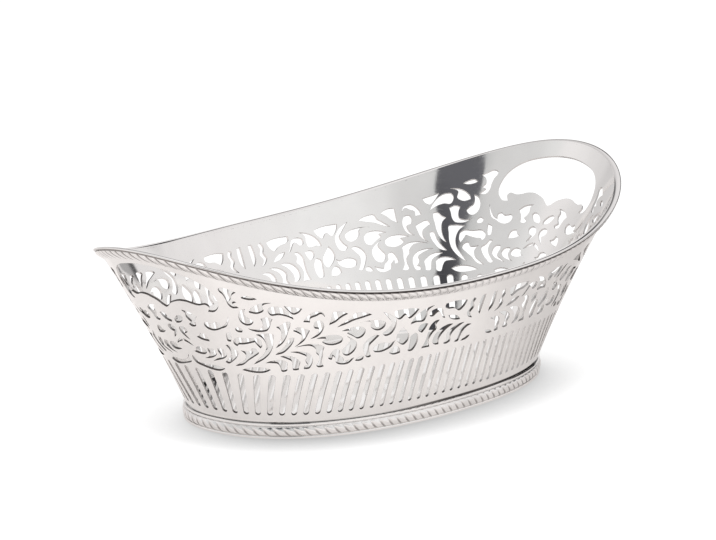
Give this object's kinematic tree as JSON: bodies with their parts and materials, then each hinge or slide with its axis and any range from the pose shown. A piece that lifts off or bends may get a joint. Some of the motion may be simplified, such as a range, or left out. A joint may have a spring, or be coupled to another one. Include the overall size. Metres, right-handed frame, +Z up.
{
  "type": "bread basket",
  "caption": "Oval boat-shaped bread basket with flared openwork wall of scroll piercing and upright slots, hand holes at both ends, roped rim and roped foot.",
  "frame": {"origin": "middle of the oval that the foot stands on, at the table", "axes": "+X along the basket towards one hand hole, +Y across it, +Z up"},
  "size_m": [0.2908, 0.1474, 0.0854],
  "materials": {
    "polished_silver": "polished silver, faint hand-polish haze",
    "floor_silver": "polished silver with fine wear from use",
    "rim_silver": "bright polished silver",
    "rope_silver": "cast rope pattern, darker in its grooves"
  },
  "bodies": {
    "root": {"wall_right": "polished_silver", "wall_left": "polished_silver", "floor_plate": "floor_silver", "rim_bead": "rim_silver", "rim_rope": "rope_silver", "foot_collar": "rim_silver", "foot_rope": "rope_silver", "foot_ring": "rim_silver"}
  },
  "joints": []
}
